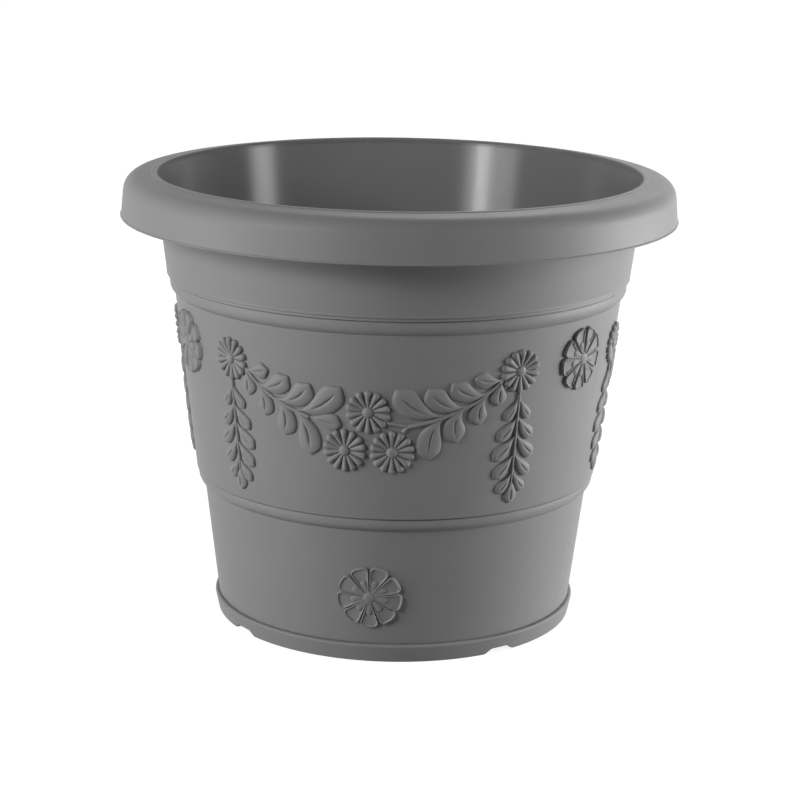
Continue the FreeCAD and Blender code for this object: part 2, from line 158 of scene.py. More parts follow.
# %% Parting lines
SLIDES, FIRST_LINE = 3, -49.3        # FIRST_LINE in degrees
PARTING_AZ = np.radians(FIRST_LINE + 360.0 / SLIDES * np.arange(SLIDES))
FINE = np.radians([-0.7, -0.45, -0.3, -0.2, -0.12, -0.06, 0.0, 0.06, 0.12, 0.2, 0.3, 0.45, 0.7])
AZ = np.radians(np.arange(COLUMNS) * 360.0 / COLUMNS)
AZ = np.unique(np.concatenate([AZ, (PARTING_AZ[:, None] + FINE).ravel() % (2 * np.pi)]))
WALL_R = 155.0           # mm, turns the angle from a parting line into a distance
LINE_W, LINE_H = 0.28, 0.09          # mm, spread and height of the ridge
NICK_W, NICK_DEEP = 0.75, 0.8        # mm, spread and depth of the dent

from_line = (AZ[:, None] - PARTING_AZ + np.pi) % (2 * np.pi) - np.pi
from_line = np.abs(from_line).min(1) * WALL_R
parting_ridge = LINE_H * np.exp(-(from_line / LINE_W) ** 2)


def nick(z, at_z):
    """Dent at the parting lines: a bell curve across the line times one along it."""
    return NICK_DEEP * np.exp(-(from_line / NICK_W) ** 2 - ((z - at_z) / NICK_W) ** 2)


print("columns round the pot:", len(AZ))

# %% [markdown]
# The rim is a collar. Its inner edge is the lip of the mouth, a small rolled bead; from there the
# top falls slightly outwards, turns over a broad round and hangs down as a skirt. The mould closes
# at the skirt's lower edge and leaves a thin uneven flash there, so that edge's radius wavers.

# %% Rim collar
RIM = [
    (174.2, 322.0, 0.0, 1), (174.2, 326.0, 1.3, 0), (177.5, 326.0, 1.1, 0), (178.7, 325.3, 1.0, 0),
    (197.5, 323.2, 12.0, 0), (199.95, 296.4, 0.2, 0), (200.6, 295.85, 0.2, 0), (200.55, 295.05, 0.2, 0),
    (198.1, 294.9, 0.4, 0), (195.75, 321.9, 10.0, 0), (176.3, 323.9, 1.0, 0), (176.2, 322.0, 0.0, 0),
]
FLASH_Z, FLASH_SPREAD = 295.3, 0.35  # mm, height of the flash and its reach up and down
FLASH_R = 199.5          # mm, only points further out are on the skirt's outer edge
FLASH_WAVER = 0.14       # mm, how far the edge strays
FLASH_BLUR = [0.3, 0.4, 0.3]         # weights of a column and its two neighbours
rng = np.random.default_rng(7)

rows, inside = rounded(RIM)
flash = np.convolve(rng.standard_normal(len(AZ) + 2), FLASH_BLUR, "valid") * FLASH_WAVER
near_flash = np.exp(-((rows[:, 1] - FLASH_Z) / FLASH_SPREAD) ** 2) * (rows[:, 0] > FLASH_R)
grid = around(rows[:, 0, None] + near_flash[:, None] * flash, rows[:, 1, None], AZ)
rim = make_piece("rim", [(grid, True, True, inside)], "rim_collar", WALL_CREASE)
print("rim faces:", len(rim.data.polygons))

# %% [markdown]
# The neck is a plain taper that ends in two fine lines: a rounded edge, a narrow bead under it and a
# groove. The steps are only one or two millimetres deep, but they are the sharpest marks on the
# photo, so they are in the outline and not in the material.

# %% Neck band
NECK = [
    (176.2, 322.0, 0.0, 0), (167.95, 255.4, 0.6, 0), (168.0, 253.7, 0.25, 0), (166.6, 253.2, 0.15, 0),
    (166.65, 251.3, 0.2, 0), (164.6, 250.7, 0.1, 0), (165.2, 250.2, 0.0, 0),
    (163.6, 250.2, 0.0, 1), (165.95, 255.0, 4.0, 1), (174.2, 322.0, 0.0, 1),
]
NICK_Z = 252.0           # mm, on the bead between the two lines

rows, inside = rounded(NECK)
skin = (inside == 0)[:, None]
swell = skin * (parting_ridge - nick(rows[:, 1, None], NICK_Z))
neck = make_piece("neck", [(around(rows[:, 0, None] + swell, rows[:, 1, None], AZ), True, True, inside)],
                  "neck_band", WALL_CREASE)
print("neck faces:", len(neck.data.polygons))

# %% [markdown]
# The body has a moulding at its top, the long taper that carries the garland, and a rounded edge
# over the shoulder groove.

# %% Body wall
BODY = [
    (165.2, 250.2, 0.0, 0), (165.65, 247.4, 9.0, 0), (165.35, 243.5, 6.0, 0), (162.05, 240.6, 0.15, 0),
    (146.8, 109.05, 0.4, 0), (144.7, 108.1, 0.0, 0), (143.3, 108.1, 0.0, 1), (144.85, 110.2, 0.8, 1),
    (160.0, 240.5, 3.0, 1), (163.4, 248.4, 1.0, 1), (163.6, 250.2, 0.0, 1),
]

rows, inside = rounded(BODY)
skin = (inside == 0)[:, None]
body = make_piece("body", [(around(rows[:, 0, None] + skin * parting_ridge, rows[:, 1, None], AZ),
                            True, True, inside)], "body_wall", WALL_CREASE)
print("body faces:", len(body.data.polygons))

# %% [markdown]
# The drum closes the pot. Its wall turns into the floor with a round inside. The floor has a ring of
# drain holes, so it can't be a plain turned disc: each hole gets a sector of the floor, and the
# sector's grid runs straight from its outline to the hole's edge, down the hole and back below.

# %% Base drum
FLOOR_LOW, FLOOR_TOP = 13.0, 16.0
FLOOR_R = 118.0          # where the wall's grid hands over to the floor's
DRUM = [
    (144.7, 108.1, 0.0, 0), (145.35, 107.5, 0.15, 0), (145.6, 105.0, 9.0, 0), (145.2, 101.8, 5.0, 0),
    (141.15, 98.3, 0.15, 0), (130.95, 13.7, 0.25, 0), (130.45, FLOOR_LOW, 0.0, 0),
    (FLOOR_R, FLOOR_LOW, 0.0, 1), (FLOOR_R, FLOOR_TOP, 0.0, 1), (129.2, FLOOR_TOP, 5.0, 1),
    (138.6, 94.8, 3.0, 1), (142.9, 106.4, 1.0, 1), (143.3, 108.1, 0.0, 1),
]
DRAINS, DRAIN_R, DRAIN_CIRCLE_R, DRAIN_EDGE = 8, 6.0, 88.0, 0.4
ARC_POINTS, SIDE_POINTS, DRAIN_ROWS, LIP_ROWS = 46, 24, 5, 4


def floor_sector(turn):
    """A sector of the floor with its hole: rows run from the outline to the hole's edge on top,
    over the edge by a quarter circle, down, and back to the outline below."""
    half = np.pi / DRAINS
    arc = np.linspace(-half, half, ARC_POINTS)
    inward = np.linspace(FLOOR_R, 0, SIDE_POINTS)[1:-1]
    r = np.concatenate([np.full(ARC_POINTS, FLOOR_R), inward, [0], inward[::-1]])
    a = np.concatenate([arc, np.full(len(inward), half), [0], np.full(len(inward), -half)])
    outline = np.stack([r * np.cos(a) - DRAIN_CIRCLE_R, r * np.sin(a)], -1)
    reach = np.linalg.norm(outline, axis=1)
    way = outline / reach[:, None]
    over = np.linspace(0, np.pi / 2, LIP_ROWS)
    to_edge = np.linspace(1, 0, DRAIN_ROWS)[:, None] ** 2
    lip = DRAIN_R + DRAIN_EDGE
    top = lip + (reach - lip) * to_edge
    edge = np.repeat((lip - DRAIN_EDGE * np.sin(over))[:, None], len(reach), 1)
    d = np.concatenate([top, edge, edge[::-1], top[::-1]])
    z = np.concatenate([np.full(DRAIN_ROWS, FLOOR_TOP), FLOOR_TOP - DRAIN_EDGE * (1 - np.cos(over)),
                        FLOOR_LOW + DRAIN_EDGE * (1 - np.cos(over[::-1])), np.full(DRAIN_ROWS, FLOOR_LOW)])
    x, y = d * way[:, 0] + DRAIN_CIRCLE_R, d * way[:, 1]
    c, s = np.cos(turn), np.sin(turn)
    grid = np.stack([x * c - y * s, x * s + y * c, np.broadcast_to(z[:, None], d.shape)], -1)
    return [(grid, False, True, 1), (grid[[0, -1], :ARC_POINTS], False, False, 1)]


rows, inside = rounded(DRUM)
skin = (inside == 0)[:, None]
sheets = [(around(rows[:, 0, None] + skin * parting_ridge, rows[:, 1, None], AZ), True, True, inside)]
for k in range(DRAINS):
    sheets += floor_sector(2 * np.pi * (k + 0.5) / DRAINS)
drum = make_piece("drum", sheets, "base_drum", WALL_CREASE)
print("drum faces:", len(drum.data.polygons))

# %% [markdown]
# The foot ring stands out below the drum and has four shallow notches in its sole, which let water
# run out from under the pot. A notch lifts the lower end of the outline: heights are squeezed into
# what is left above it, and the radius follows the ring's own taper.

# %% Foot ring
FOOT_H = 13.0
FOOT = [
    (129.0, FOOT_H, 0.0, 0), (128.25, 0.0, 0.5, 0), (131.25, 0.0, 0.6, 0), (133.95, FOOT_H, 1.6, 0),
]
FOOT_INNER_TAPER, FOOT_OUTER_TAPER = 0.058, 0.208
NOTCHES, NOTCH_AZ, NOTCH_H = 4, 42.2, 3.6
NOTCH_LOW, NOTCH_TOP = 13.0, 6.0     # half widths at the sole and at its top
SOLE_MID_R = 129.75


def smooth(t):
    """Soft step from 0 to 1: three times the square less twice the cube, level at both ends."""
    t = np.clip(t, 0, 1)
    return t * t * (3 - 2 * t)


notch_az = np.radians(NOTCH_AZ + 360.0 / NOTCHES * np.arange(NOTCHES))
FOOT_AZ = np.unique(np.concatenate([AZ, np.radians(np.arange(2 * COLUMNS) * 180.0 / COLUMNS)]))
off = np.abs((FOOT_AZ[:, None] - notch_az + np.pi) % (2 * np.pi) - np.pi).min(1) * SOLE_MID_R
lift = NOTCH_H * smooth((NOTCH_LOW - off) / (NOTCH_LOW - NOTCH_TOP))
rows, inside = rounded(FOOT)
r, z = rows[:, :1], rows[:, 1:]
lifted = lift + z * (FOOT_H - lift) / FOOT_H
taper = np.where(r > SOLE_MID_R, FOOT_OUTER_TAPER, FOOT_INNER_TAPER)
foot = make_piece("foot", [(around(r + taper * (lifted - z), lifted, FOOT_AZ), True, True, inside)],
                  "foot_ring", WALL_CREASE)
print("foot faces:", len(foot.data.polygons))

# %% [markdown]
# The ornaments lie on tapered walls. Each is drawn flat, as arrays of x across, y up and h off the
# wall, and one function bends the drawing round the pot: x becomes an azimuth, y a height, and h a
# step along the wall's normal. Every shape also reaches a little into the wall, so no gap shows.

# %% Bend a drawing onto the wall
SINK = 0.6               # mm into the wall
SECTORS = 3
BODY_WALL = (146.85, 110.2, 14.8 / 127.2)    # radius at a height, that height, gain per mm
DRUM_WALL = (130.85, 13.0, 9.7 / 80.4)


def wall_r(wall, z):
    """Radius of a tapered wall at a height: it grows in a straight line."""
    return wall[0] + wall[2] * (z - wall[1])


def on_wall(wall, az, z, h):
    """Point at an azimuth and height of a tapered wall, moved off it along the normal by h."""
    lean = math.hypot(1.0, wall[2])
    return around(wall_r(wall, z) + h / lean, z - h * wall[2] / lean, az)


def seat(wall, az, z, shape, turn=0.0):
    """Turns a flat shape (x, y, h) by an angle and sits it on the wall about the given place."""
    x, y, h = shape
    c, s = np.cos(turn), np.sin(turn)
    return on_wall(wall, az + (x * c - y * s) / wall_r(wall, z), z + x * s + y * c, h)


# %% [markdown]
# A daisy is a ring of drop-shaped petals round a domed boss. A petal is half round in section,
# narrow at the boss and round at its end. About two hundred of them are on the pot, so each has few
# faces and relies on smooth shading.

# %% Petal and boss
OVER = np.linspace(0, np.pi, 10)     # from one side of a petal over its crest to the other
PETAL_ROWS, PETAL_END_ROWS = 5, 7
DOME_ROWS, DOME_COLUMNS = 10, 32
ORNAMENT_CREASE, ROSETTE_CREASE = 55, 70


def drop_shape(start, reach, root, tip, rise, plinth):
    """Half-round drop along +x: half width grows in a straight line from root to tip and ends in a
    quarter circle; height is rise times half width, on a plinth."""
    line = np.linspace(0, 1, PETAL_ROWS)
    end = np.linspace(0, np.pi / 2, PETAL_END_ROWS)[1:]
    x = np.concatenate([[start], start + (reach - tip - start) * line, reach - tip + tip * np.sin(end)])
    half = np.concatenate([[0], root + (tip - root) * line, tip * np.cos(end)])
    across = np.concatenate([np.cos(OVER), [-1, 1]])
    up = np.concatenate([np.sin(OVER), [0, 0]])
    base = np.concatenate([np.full(len(OVER), plinth), [-SINK, -SINK]])
    x = np.broadcast_to(x[:, None], (len(x), len(up)))
    return x, half[:, None] * across, rise * half[:, None] * up + base


def dome_shape(radius, rise, full):
    """Dome: a quarter superellipse carried round, with a short upright side into the wall. A full of
    2 is an ellipse, and more fills the shoulder out."""
    a = np.linspace(0, np.pi / 2, DOME_ROWS)
    out = np.concatenate([radius * np.abs(np.sin(a)) ** (2 / full), [radius, 0]])[:, None]
    h = np.concatenate([rise * np.abs(np.cos(a)) ** (2 / full), [-SINK, -SINK]])[:, None]
    turn = np.linspace(0, 2 * np.pi, DOME_COLUMNS, endpoint=False)
    return out * np.cos(turn), out * np.sin(turn), np.broadcast_to(h, (len(h), len(turn)))


# %% [markdown]
# A garland has five daisies: one at each upper corner and three in the middle. Their places are
# measured across and up from the middle one at the top, on the unrolled wall. The whole garland is
# repeated three times round the pot.

# %% Daisies
GARLAND_Z = 186.6        # mm, height of the middle daisy
GARLAND_R = wall_r(BODY_WALL, GARLAND_Z)
DAISIES = {"daisy_left": (-104.9, 25.4), "daisy_right": (104.9, 25.4), "daisy_top": (0.0, 0.0),
           "daisy_low_left": (-16.4, -28.2), "daisy_low_right": (16.4, -28.2)}
PETALS = 14
PETAL = drop_shape(start=3.4, reach=15.4, root=1.0, tip=2.6, rise=1.08, plinth=0.2)
DAISY_BOSS = dome_shape(radius=4.0, rise=3.0, full=2.4)


def daisy(az, z):
    """Sheets of a daisy: the petal turned by equal angles, and the boss."""
    petals = [(seat(BODY_WALL, az, z, PETAL, np.pi / 2 + 2 * np.pi * k / PETALS), False, True, 0)
              for k in range(PETALS)]
    return petals + [(seat(BODY_WALL, az, z, DAISY_BOSS), False, True, 0)]


ornaments = []
for k in range(SECTORS):
    for name, (x, y) in DAISIES.items():
        az = x / GARLAND_R + 2 * np.pi * k / SECTORS
        node = "s%d_%s" % (k + 1, name)
        ornaments.append(make_piece("garland%d_%s" % (k + 1, name), daisy(az, GARLAND_Z + y), node,
                                    ORNAMENT_CREASE))
print("daisies:", len(ornaments), "faces each:", len(ornaments[0].data.polygons))

# %% [markdown]
# Leaves are ovate: narrow where they leave the stem, widest past the middle, and drawn to a blunt
# point. Their faces are pillowed with a steep edge, and a groove marks the midrib. A leaf's rows run
# along its bent midrib and its columns from edge to edge; extra columns at fixed distances from the
# midrib keep the groove sharp however wide the leaf is.

# %% Leaf
LEAF_H, LEAF_FOOT = 2.6, 0.87        # mm, height of a blade, its half width where it leaves the stem
LEAF_WIDEST = 0.75       # share of the midrib at which the blade has its full width
SPRAY_POWER, DROP_POWER = 1.6, 1.05  # how slowly a blade opens from the stem, in a spray and a drop
TIP_OPEN, TIP_ROUND = 1.35, 0.5      # slope of the two edges at the tip, mm by which it is rounded
TIP_FALL = 2.3           # mm, about the length over which a blade falls to its tip
GROOVE_W, GROOVE_DEEP = 0.038, 0.068      # shares of the blade's width
GROOVE_FROM, GROOVE_TO, GROOVE_FADE = 0.32, 0.72, 0.16    # shares of the midrib
GROOVE_COLUMNS = np.array([-2.2, -1.1, -0.5, 0.0, 0.5, 1.1, 2.2])   # in groove widths
GROOVE_SHARE, OUTER_SHARE = 0.33, 0.36    # of the half width: groove columns end, outer ones begin
CROWN_LOW, CROWN_GAIN, CROWN_REACH = 0.55, 0.45, 0.4      # height at the stem, its gain, over what share
EDGE_POWER = 2.3         # of the superellipse across a blade: more makes the edge steeper
SOFT_MIN = 5             # more joins the two curves of the outline more sharply
LEAF_ROWS, ROW_CROWD, OUTER_COLUMNS = 24, 1.6, 8          # rows crowd towards the tip
TINY = 1e-6


def leaf_shape(base, knee, tip, width, power):
    """Leaf along a midrib that leaves base towards knee and comes to tip by a quadratic curve. Half
    width rises by a power of a quarter sine to the widest place and falls to the tip by a hyperbola,
    the two joined by a soft minimum; height falls to the edge by a superellipse."""
    base, knee, tip = np.array([base, knee, tip], float)
    t = np.concatenate([[0], 1 - (1 - np.linspace(0, 1, LEAF_ROWS)) ** ROW_CROWD])[:, None]
    rib = base * (1 - t) ** 2 + knee * 2 * t * (1 - t) + tip * t ** 2
    way = (knee - base) * (1 - t) + (tip - knee) * t
    way /= np.linalg.norm(way, axis=1)[:, None]
    left = 2 * np.linalg.norm(tip - knee) * (1 - t) + TINY
    to_tip = TIP_OPEN * np.sqrt(left * left + 2 * TIP_ROUND * left)
    blade = width / 2 * np.sin(np.pi / 2 * np.clip(t / LEAF_WIDEST, TINY, 1)) ** power
    half = (blade ** -SOFT_MIN + to_tip ** -SOFT_MIN) ** (-1 / SOFT_MIN)
    half = np.maximum(half, (1 - t) * LEAF_FOOT)
    half[0], half[-1] = 0, 0
    outer = np.sin(np.linspace(np.arcsin(OUTER_SHARE), np.pi / 2, OUTER_COLUMNS))
    groove_w = GROOVE_W * width
    groove = np.clip(GROOVE_COLUMNS * groove_w + 0 * half, -GROOVE_SHARE * half, GROOVE_SHARE * half)
    y = np.concatenate([-half * outer[::-1], groove, half * outer], 1)
    s = np.abs(y) / np.maximum(half, TINY)
    edge = np.sqrt(np.clip(1 - s ** EDGE_POWER, 0, 1))
    fall = np.linalg.norm(tip - base) / TIP_FALL
    crown = LEAF_H * (CROWN_LOW + CROWN_GAIN * smooth(t / CROWN_REACH)) * np.sqrt(1 - t ** fall)
    window = smooth((t - GROOVE_FROM) / GROOVE_FADE) * (1 - smooth((t - GROOVE_TO) / GROOVE_FADE))
    h = crown * edge - GROOVE_DEEP * width * window * np.exp(-(y / groove_w) ** 2)
    y = np.concatenate([y, half, -half], 1)
    h = np.concatenate([h, np.full((len(t), 2), -SINK)], 1)
    return rib[:, :1] - way[:, 1:] * y, rib[:, 1:] + way[:, :1] * y, h


# %% [markdown]
# Stems are half-round bars along smooth lines. A line is given by a few points, and each stretch
# between two of them is a cubic, so the bar bends without corners.

# %% Stem
STEM_HALF, STEM_H = 1.4, 2.0         # mm, usual half width, and the height that goes with it
CURVE_STEPS, END_STEPS = 7, 5


def smooth_line(points):
    """Curve through points: each stretch is the cubic whose end slopes run between neighbours."""
    p = np.array(points, float)
    slope = np.gradient(p, axis=0)
    t = np.linspace(0, 1, CURVE_STEPS)[:-1, None]
    a, b = p[:-1, None], p[1:, None]
    m, n = slope[:-1, None], slope[1:, None]
    curve = (a * (2 * t ** 3 - 3 * t ** 2 + 1) + m * (t ** 3 - 2 * t ** 2 + t)
             + b * (3 * t ** 2 - 2 * t ** 3) + n * (t ** 3 - t ** 2))
    return np.concatenate([curve.reshape(-1, 2), p[-1:]])


def stem_shape(points, start_half, end_half):
    """Half-round bar along a smooth line: half width goes in a straight line from one end to the
    other, and each end is closed by a quarter circle."""
    line = smooth_line(points)
    way = np.gradient(line, axis=0)
    way /= np.linalg.norm(way, axis=1)[:, None]
    a = np.linspace(0, np.pi / 2, END_STEPS)[1:, None]
    head = line[0] - way[0] * start_half * np.sin(a[::-1])
    tail = line[-1] + way[-1] * end_half * np.sin(a)
    along = np.linspace(start_half, end_half, len(line))[:, None]
    half = np.concatenate([start_half * np.cos(a[::-1]), along, end_half * np.cos(a)])
    line = np.concatenate([head, line, tail])
    way = np.concatenate([np.repeat(way[:1], len(a), 0), way, np.repeat(way[-1:], len(a), 0)])
    over = np.concatenate([np.cos(OVER), [-1, 1]])
    up = np.concatenate([np.sin(OVER), [0, 0]]) * STEM_H / STEM_HALF
    base = np.concatenate([np.zeros(len(OVER)), [-SINK, -SINK]])
    y = half * over
    return line[:, :1] - way[:, 1:] * y, line[:, 1:] + way[:, :1] * y, half * up + base


def bend_on(shape, az):
    """Bends a shape that is drawn about the middle daisy onto the body's wall."""
    x, y, h = shape
    return on_wall(BODY_WALL, az + x / GARLAND_R, GARLAND_Z + y, h), False, True, 0


# %% [markdown]
# A spray hangs from a corner daisy towards the middle. Its places are across and up from the middle
# daisy, for the right side; the left side is the mirror image. The right stem runs on and forks, and
# the left one ends in one more leaf.

# %% Sprays
SPRAY_STEM = [(89.4, 19.3), (84.9, 14.9), (78.6, 10.1), (70.8, 5.0), (63.1, 1.4), (54.5, -2.2),
              (47.7, -4.4), (41.8, -6.4)]
FORK_STEM = [(34.7, -8.0), (27.3, -9.7)]
FORK_ENDS = [[(20.5, -8.4), (14.2, -7.5)], [(25.4, -11.2), (24.0, -13.2)]]
SPRAY_LEAVES = [         # base, knee, tip, width
    ((91.5, 20.6), (80.0, 19.6), (71.2, 22.9), 12.6), ((81.2, 12.2), (66.2, 7.4), (56.0, 20.6), 15.2),
    ((66.6, 3.7), (48.8, 0.4), (40.0, 17.3), 16.6), ((50.6, -2.2), (32.2, -3.4), (18.2, 16.5), 18.4),
    ((90.9, 20.6), (88.3, 11.0), (89.7, 1.8), 13.6), ((81.2, 11.4), (71.8, 1.5), (76.8, -10.4), 13.6),
    ((66.0, 2.8), (54.2, -5.0), (61.2, -22.3), 15.8), ((50.8, -3.6), (40.0, -11.5), (41.3, -34.3), 17.6),
]
SPRAY_END = ((41.5, -6.3), (31.0, -7.5), (17.8, -10.6), 12.8)
STEM_THIN, STEM_THICK = 1.25, 1.6    # mm, half width at the corner daisy and at the middle


def flip(points, s):
    """Mirrors points when s is -1: x is multiplied by s."""
    return [(s * x, y) for x, y in points]


def spray(s):
    """Spray on one side of the middle: s is 1 on the right, which forks, and -1 on the left."""
    leaves = SPRAY_LEAVES if s > 0 else SPRAY_LEAVES + [SPRAY_END]
    shapes = [leaf_shape(*flip(points, s), width, SPRAY_POWER) for *points, width in leaves]
    if s < 0:
        return shapes + [stem_shape(flip(SPRAY_STEM, s), STEM_THIN, STEM_THICK)]
    shapes.append(stem_shape(SPRAY_STEM + FORK_STEM, STEM_THIN, STEM_THICK))
    return shapes + [stem_shape(FORK_STEM[-1:] + end, STEM_HALF, STEM_HALF) for end in FORK_ENDS]


# %% [markdown]
# A drop hangs straight down under each corner daisy: a stem with five pairs of leaves and one more
# at its end. The two leaves of a pair mirror each other.

# %% Drops
DROP_X, DROP_TOP, DROP_LOW = 105.5, 8.8, -54.0            # mm, the stem's place and its two ends
DROP_TIP, DROP_TIP_W = -70.6, 12.0   # mm, the last leaf's tip and width
DROP_OVERLAP = 1.0       # mm, by which the last leaf starts on the stem
DROP_PAIRS = [(5.0, 10.3, -9.3, 8.4), (-8.5, 14.3, -23.7, 10.2), (-21.5, 16.8, -37.4, 10.8),
              (-35.2, 15.1, -50.8, 10.2), (-48.8, 11.7, -61.9, 8.8)]
DROP_BASE, DROP_SAG = 1.0, 1.2       # mm, where leaves leave the stem, and their bend


def drop(x):
    """Hanging drop: a stem, pairs of leaves (base height, reach, tip height, width) and a last leaf."""
    stem = [(x, y) for y in np.linspace(DROP_TOP, DROP_LOW, 4)]
    shapes = [stem_shape(stem, STEM_HALF, STEM_THIN),
              leaf_shape((x, DROP_LOW + DROP_OVERLAP), (x, (DROP_LOW + DROP_TIP) / 2), (x, DROP_TIP),
                         DROP_TIP_W, DROP_POWER)]
    for base_y, reach, tip_y, width in DROP_PAIRS:
        for s in (1, -1):
            base, tip = (x + s * DROP_BASE, base_y), (x + s * reach, tip_y)
            knee = ((base[0] + tip[0]) / 2 - s * DROP_SAG, (base_y + tip_y) / 2 - DROP_SAG)
            shapes.append(leaf_shape(base, knee, tip, width, DROP_POWER))
    return shapes


sprigs = {"spray_left": spray(-1), "spray_right": spray(1),
          "drop_left": drop(-DROP_X), "drop_right": drop(DROP_X)}
for k in range(SECTORS):
    for name, shapes in sprigs.items():
        sheets = [bend_on(shape, 2 * np.pi * k / SECTORS) for shape in shapes]
        node = "s%d_%s" % (k + 1, name)
        ornaments.append(make_piece("garland%d_%s" % (k + 1, name), sheets, node, ORNAMENT_CREASE))
print("sprays and drops:", SECTORS * len(sprigs), "faces of the last:", len(ornaments[-1].data.polygons))

# %% [markdown]
# A rosette has nine wedge petals. Each is a raised line round a sunk floor, with a convex lobe in
# its narrow end, and a boss covers the middle. The line's section is carried along the petal's
# outline: each row of the grid is the outline moved inwards by some distance, at some height. The
# upper rosettes lie beside a parting line, where the slide pulls away at a slant, so the side of
# each that faces the line is drafted: it leans in and has no undercut.

# %% Rosette petal
ROSETTE_R, ROSETTE_PETALS = 22.8, 9
WEDGE_OPEN = 0.335       # gain of half width per mm along a petal
WEDGE_HALF = 0.35        # mm, half width that the sides would have at the middle
WEDGE_ROUND = 3.7        # mm, rounds the outer corners
WEDGE_ROOT = 3.0         # mm, inner end, under the boss
CREST_IN, CREST_H = 0.75, 2.8        # mm, the raised line's crest: how far in, how high
FLOOR_IN, FLOOR_H = 1.85, 1.9        # mm, where the line ends and the petal's floor begins
DRAFT = 2.0              # mm, how far the drafted side of an upper rosette leans in
RISE_ROWS, FALL_ROWS = 7, 9
SIDE_STEPS, CORNER_STEPS, END_ARC_STEPS = 12, 14, 9


def line_section(draft):
    """Distance in from the outline and height, in rows: a quarter ellipse up to the crest, which leans
    in by the draft, then half a cosine wave down to the floor."""
    rise = np.linspace(0, np.pi / 2, RISE_ROWS)[:, None]
    fall = np.linspace(0, 1, FALL_ROWS)[1:, None]
    d = np.concatenate([0 * draft[None], CREST_IN * (1 - np.cos(rise)) + draft * np.sin(rise),
                        CREST_IN + draft + (FLOOR_IN - CREST_IN) * fall])
    h = np.concatenate([[[-SINK]], CREST_H * np.sin(rise),
                        FLOOR_H + (CREST_H - FLOOR_H) * (0.5 + 0.5 * np.cos(np.pi * fall))])
    return d, h


def wedge_shape(turn, draft):
    """Petal along +x: two straight sides, arcs at the outer corners and an arc for the end. A corner's
    centre is a round's width inside both the side and the end. Draft grows with the cosine of the angle
    between an edge's outward direction, in the turned rosette, and the parting line's."""
    a = np.arctan(WEDGE_OPEN)
    ahead, out = np.array([np.cos(a), np.sin(a)]), np.array([-np.sin(a), np.cos(a)])
    first = np.array([0.0, WEDGE_HALF]) - WEDGE_ROUND * out
    b = first @ ahead
    corner = first + ahead * (np.sqrt(b * b - first @ first + (ROSETTE_R - WEDGE_ROUND) ** 2) - b)
    angle = np.arctan2(corner[1], corner[0])
    touch = corner + WEDGE_ROUND * out
    root = np.array([WEDGE_ROOT, WEDGE_HALF + WEDGE_OPEN * WEDGE_ROOT])
    t = np.linspace(0, 1, SIDE_STEPS)[:-1, None]
    bend = np.linspace(np.pi / 2 + a, angle, CORNER_STEPS)[:-1]
    end = np.linspace(angle, 0, END_ARC_STEPS)[:, None]
    upper = np.concatenate([root + (touch - root) * t,
                            corner + WEDGE_ROUND * np.stack([np.cos(bend), np.sin(bend)], -1),
                            ROSETTE_R * np.concatenate([np.cos(end), np.sin(end)], 1)])
    facing = np.concatenate([np.full(len(t), np.pi / 2 + a), bend, end[:, 0]])
    facing = np.concatenate([facing, -facing[-2::-1]])
    edge = np.concatenate([upper, upper[-2::-1] * [1, -1]])
    d, h = line_section(draft * np.maximum(np.cos(facing + turn), 0))
    side = np.sign(edge[:, 1])
    x = edge[:, 0] - d * np.cos(facing)
    y = side * np.maximum(side * (edge[:, 1] - d * np.sin(facing)), 0)
    axis = np.clip(x, WEDGE_ROOT, None)
    x = np.concatenate([axis[:1], x, axis[-1:]])
    y = np.concatenate([0 * y[:1], y, 0 * y[:1]])
    h = np.concatenate([h[:1], h, h[-1:]])
    x = np.concatenate([np.full((len(x), 1), WEDGE_ROOT), x, np.full((len(x), 1), WEDGE_ROOT)], 1)
    y = np.concatenate([np.zeros((len(y), 1)), y, np.zeros((len(y), 1))], 1)
    return x, y, np.broadcast_to(h, x.shape)


# %% [markdown]
# The petals, each with its lobe, stand round the boss at equal angles. Thin ribs fill the gaps
# between the petals, which keeps the line there shallow. One rosette lies between two garlands on
# the body, and one under each garland on the drum.

# %% Rosettes
LOBE_SINK = 0.05         # mm into the petal's floor
LOBE = drop_shape(start=3.2, reach=13.2, root=1.6, tip=2.5, rise=0.4, plinth=FLOOR_H - LOBE_SINK)
RIB = drop_shape(start=4.0, reach=17.5, root=0.6, tip=0.6, rise=0.8, plinth=1.1)
ROSETTE_BOSS = dome_shape(radius=5.4, rise=3.6, full=2.4)
UPPER_ROSETTE_Z, LOWER_ROSETTE_Z = GARLAND_Z + 25.8, 49.3


def rosette(wall, az, z, draft):
    """Sheets of a rosette: boss, petals and lobes at equal angles, and ribs halfway between them."""
    sheets = [(seat(wall, az, z, ROSETTE_BOSS), False, True, 0)]
    for k in range(ROSETTE_PETALS):
        turn = 2 * np.pi * k / ROSETTE_PETALS - np.pi / 2
        sheets.append((seat(wall, az, z, wedge_shape(turn, draft), turn), False, False, 0))
        sheets.append((seat(wall, az, z, LOBE, turn), False, True, 0))
        sheets.append((seat(wall, az, z, RIB, turn + np.pi / ROSETTE_PETALS), False, True, 0))
    return sheets


for k in range(SECTORS):
    az = 2 * np.pi * k / SECTORS
    places = {"rosette_upper": (BODY_WALL, az + np.pi / SECTORS, UPPER_ROSETTE_Z, DRAFT),
              "rosette_lower": (DRUM_WALL, az, LOWER_ROSETTE_Z, 0.0)}
    for name, place in places.items():
        node = "s%d_%s" % (k + 1, name)
        ornaments.append(make_piece("garland%d_%s" % (k + 1, name), rosette(*place), node, ROSETTE_CREASE))
print("ornaments:", len(ornaments), "faces of a rosette:", len(ornaments[-1].data.polygons))

# %% [markdown]
# Materials are small trees of nodes, and these helpers build them. Colours are written as sRGB hex
# and turned to linear light in one place. Patterns lie on Object coordinates, so they stay with the
# pot in every view.

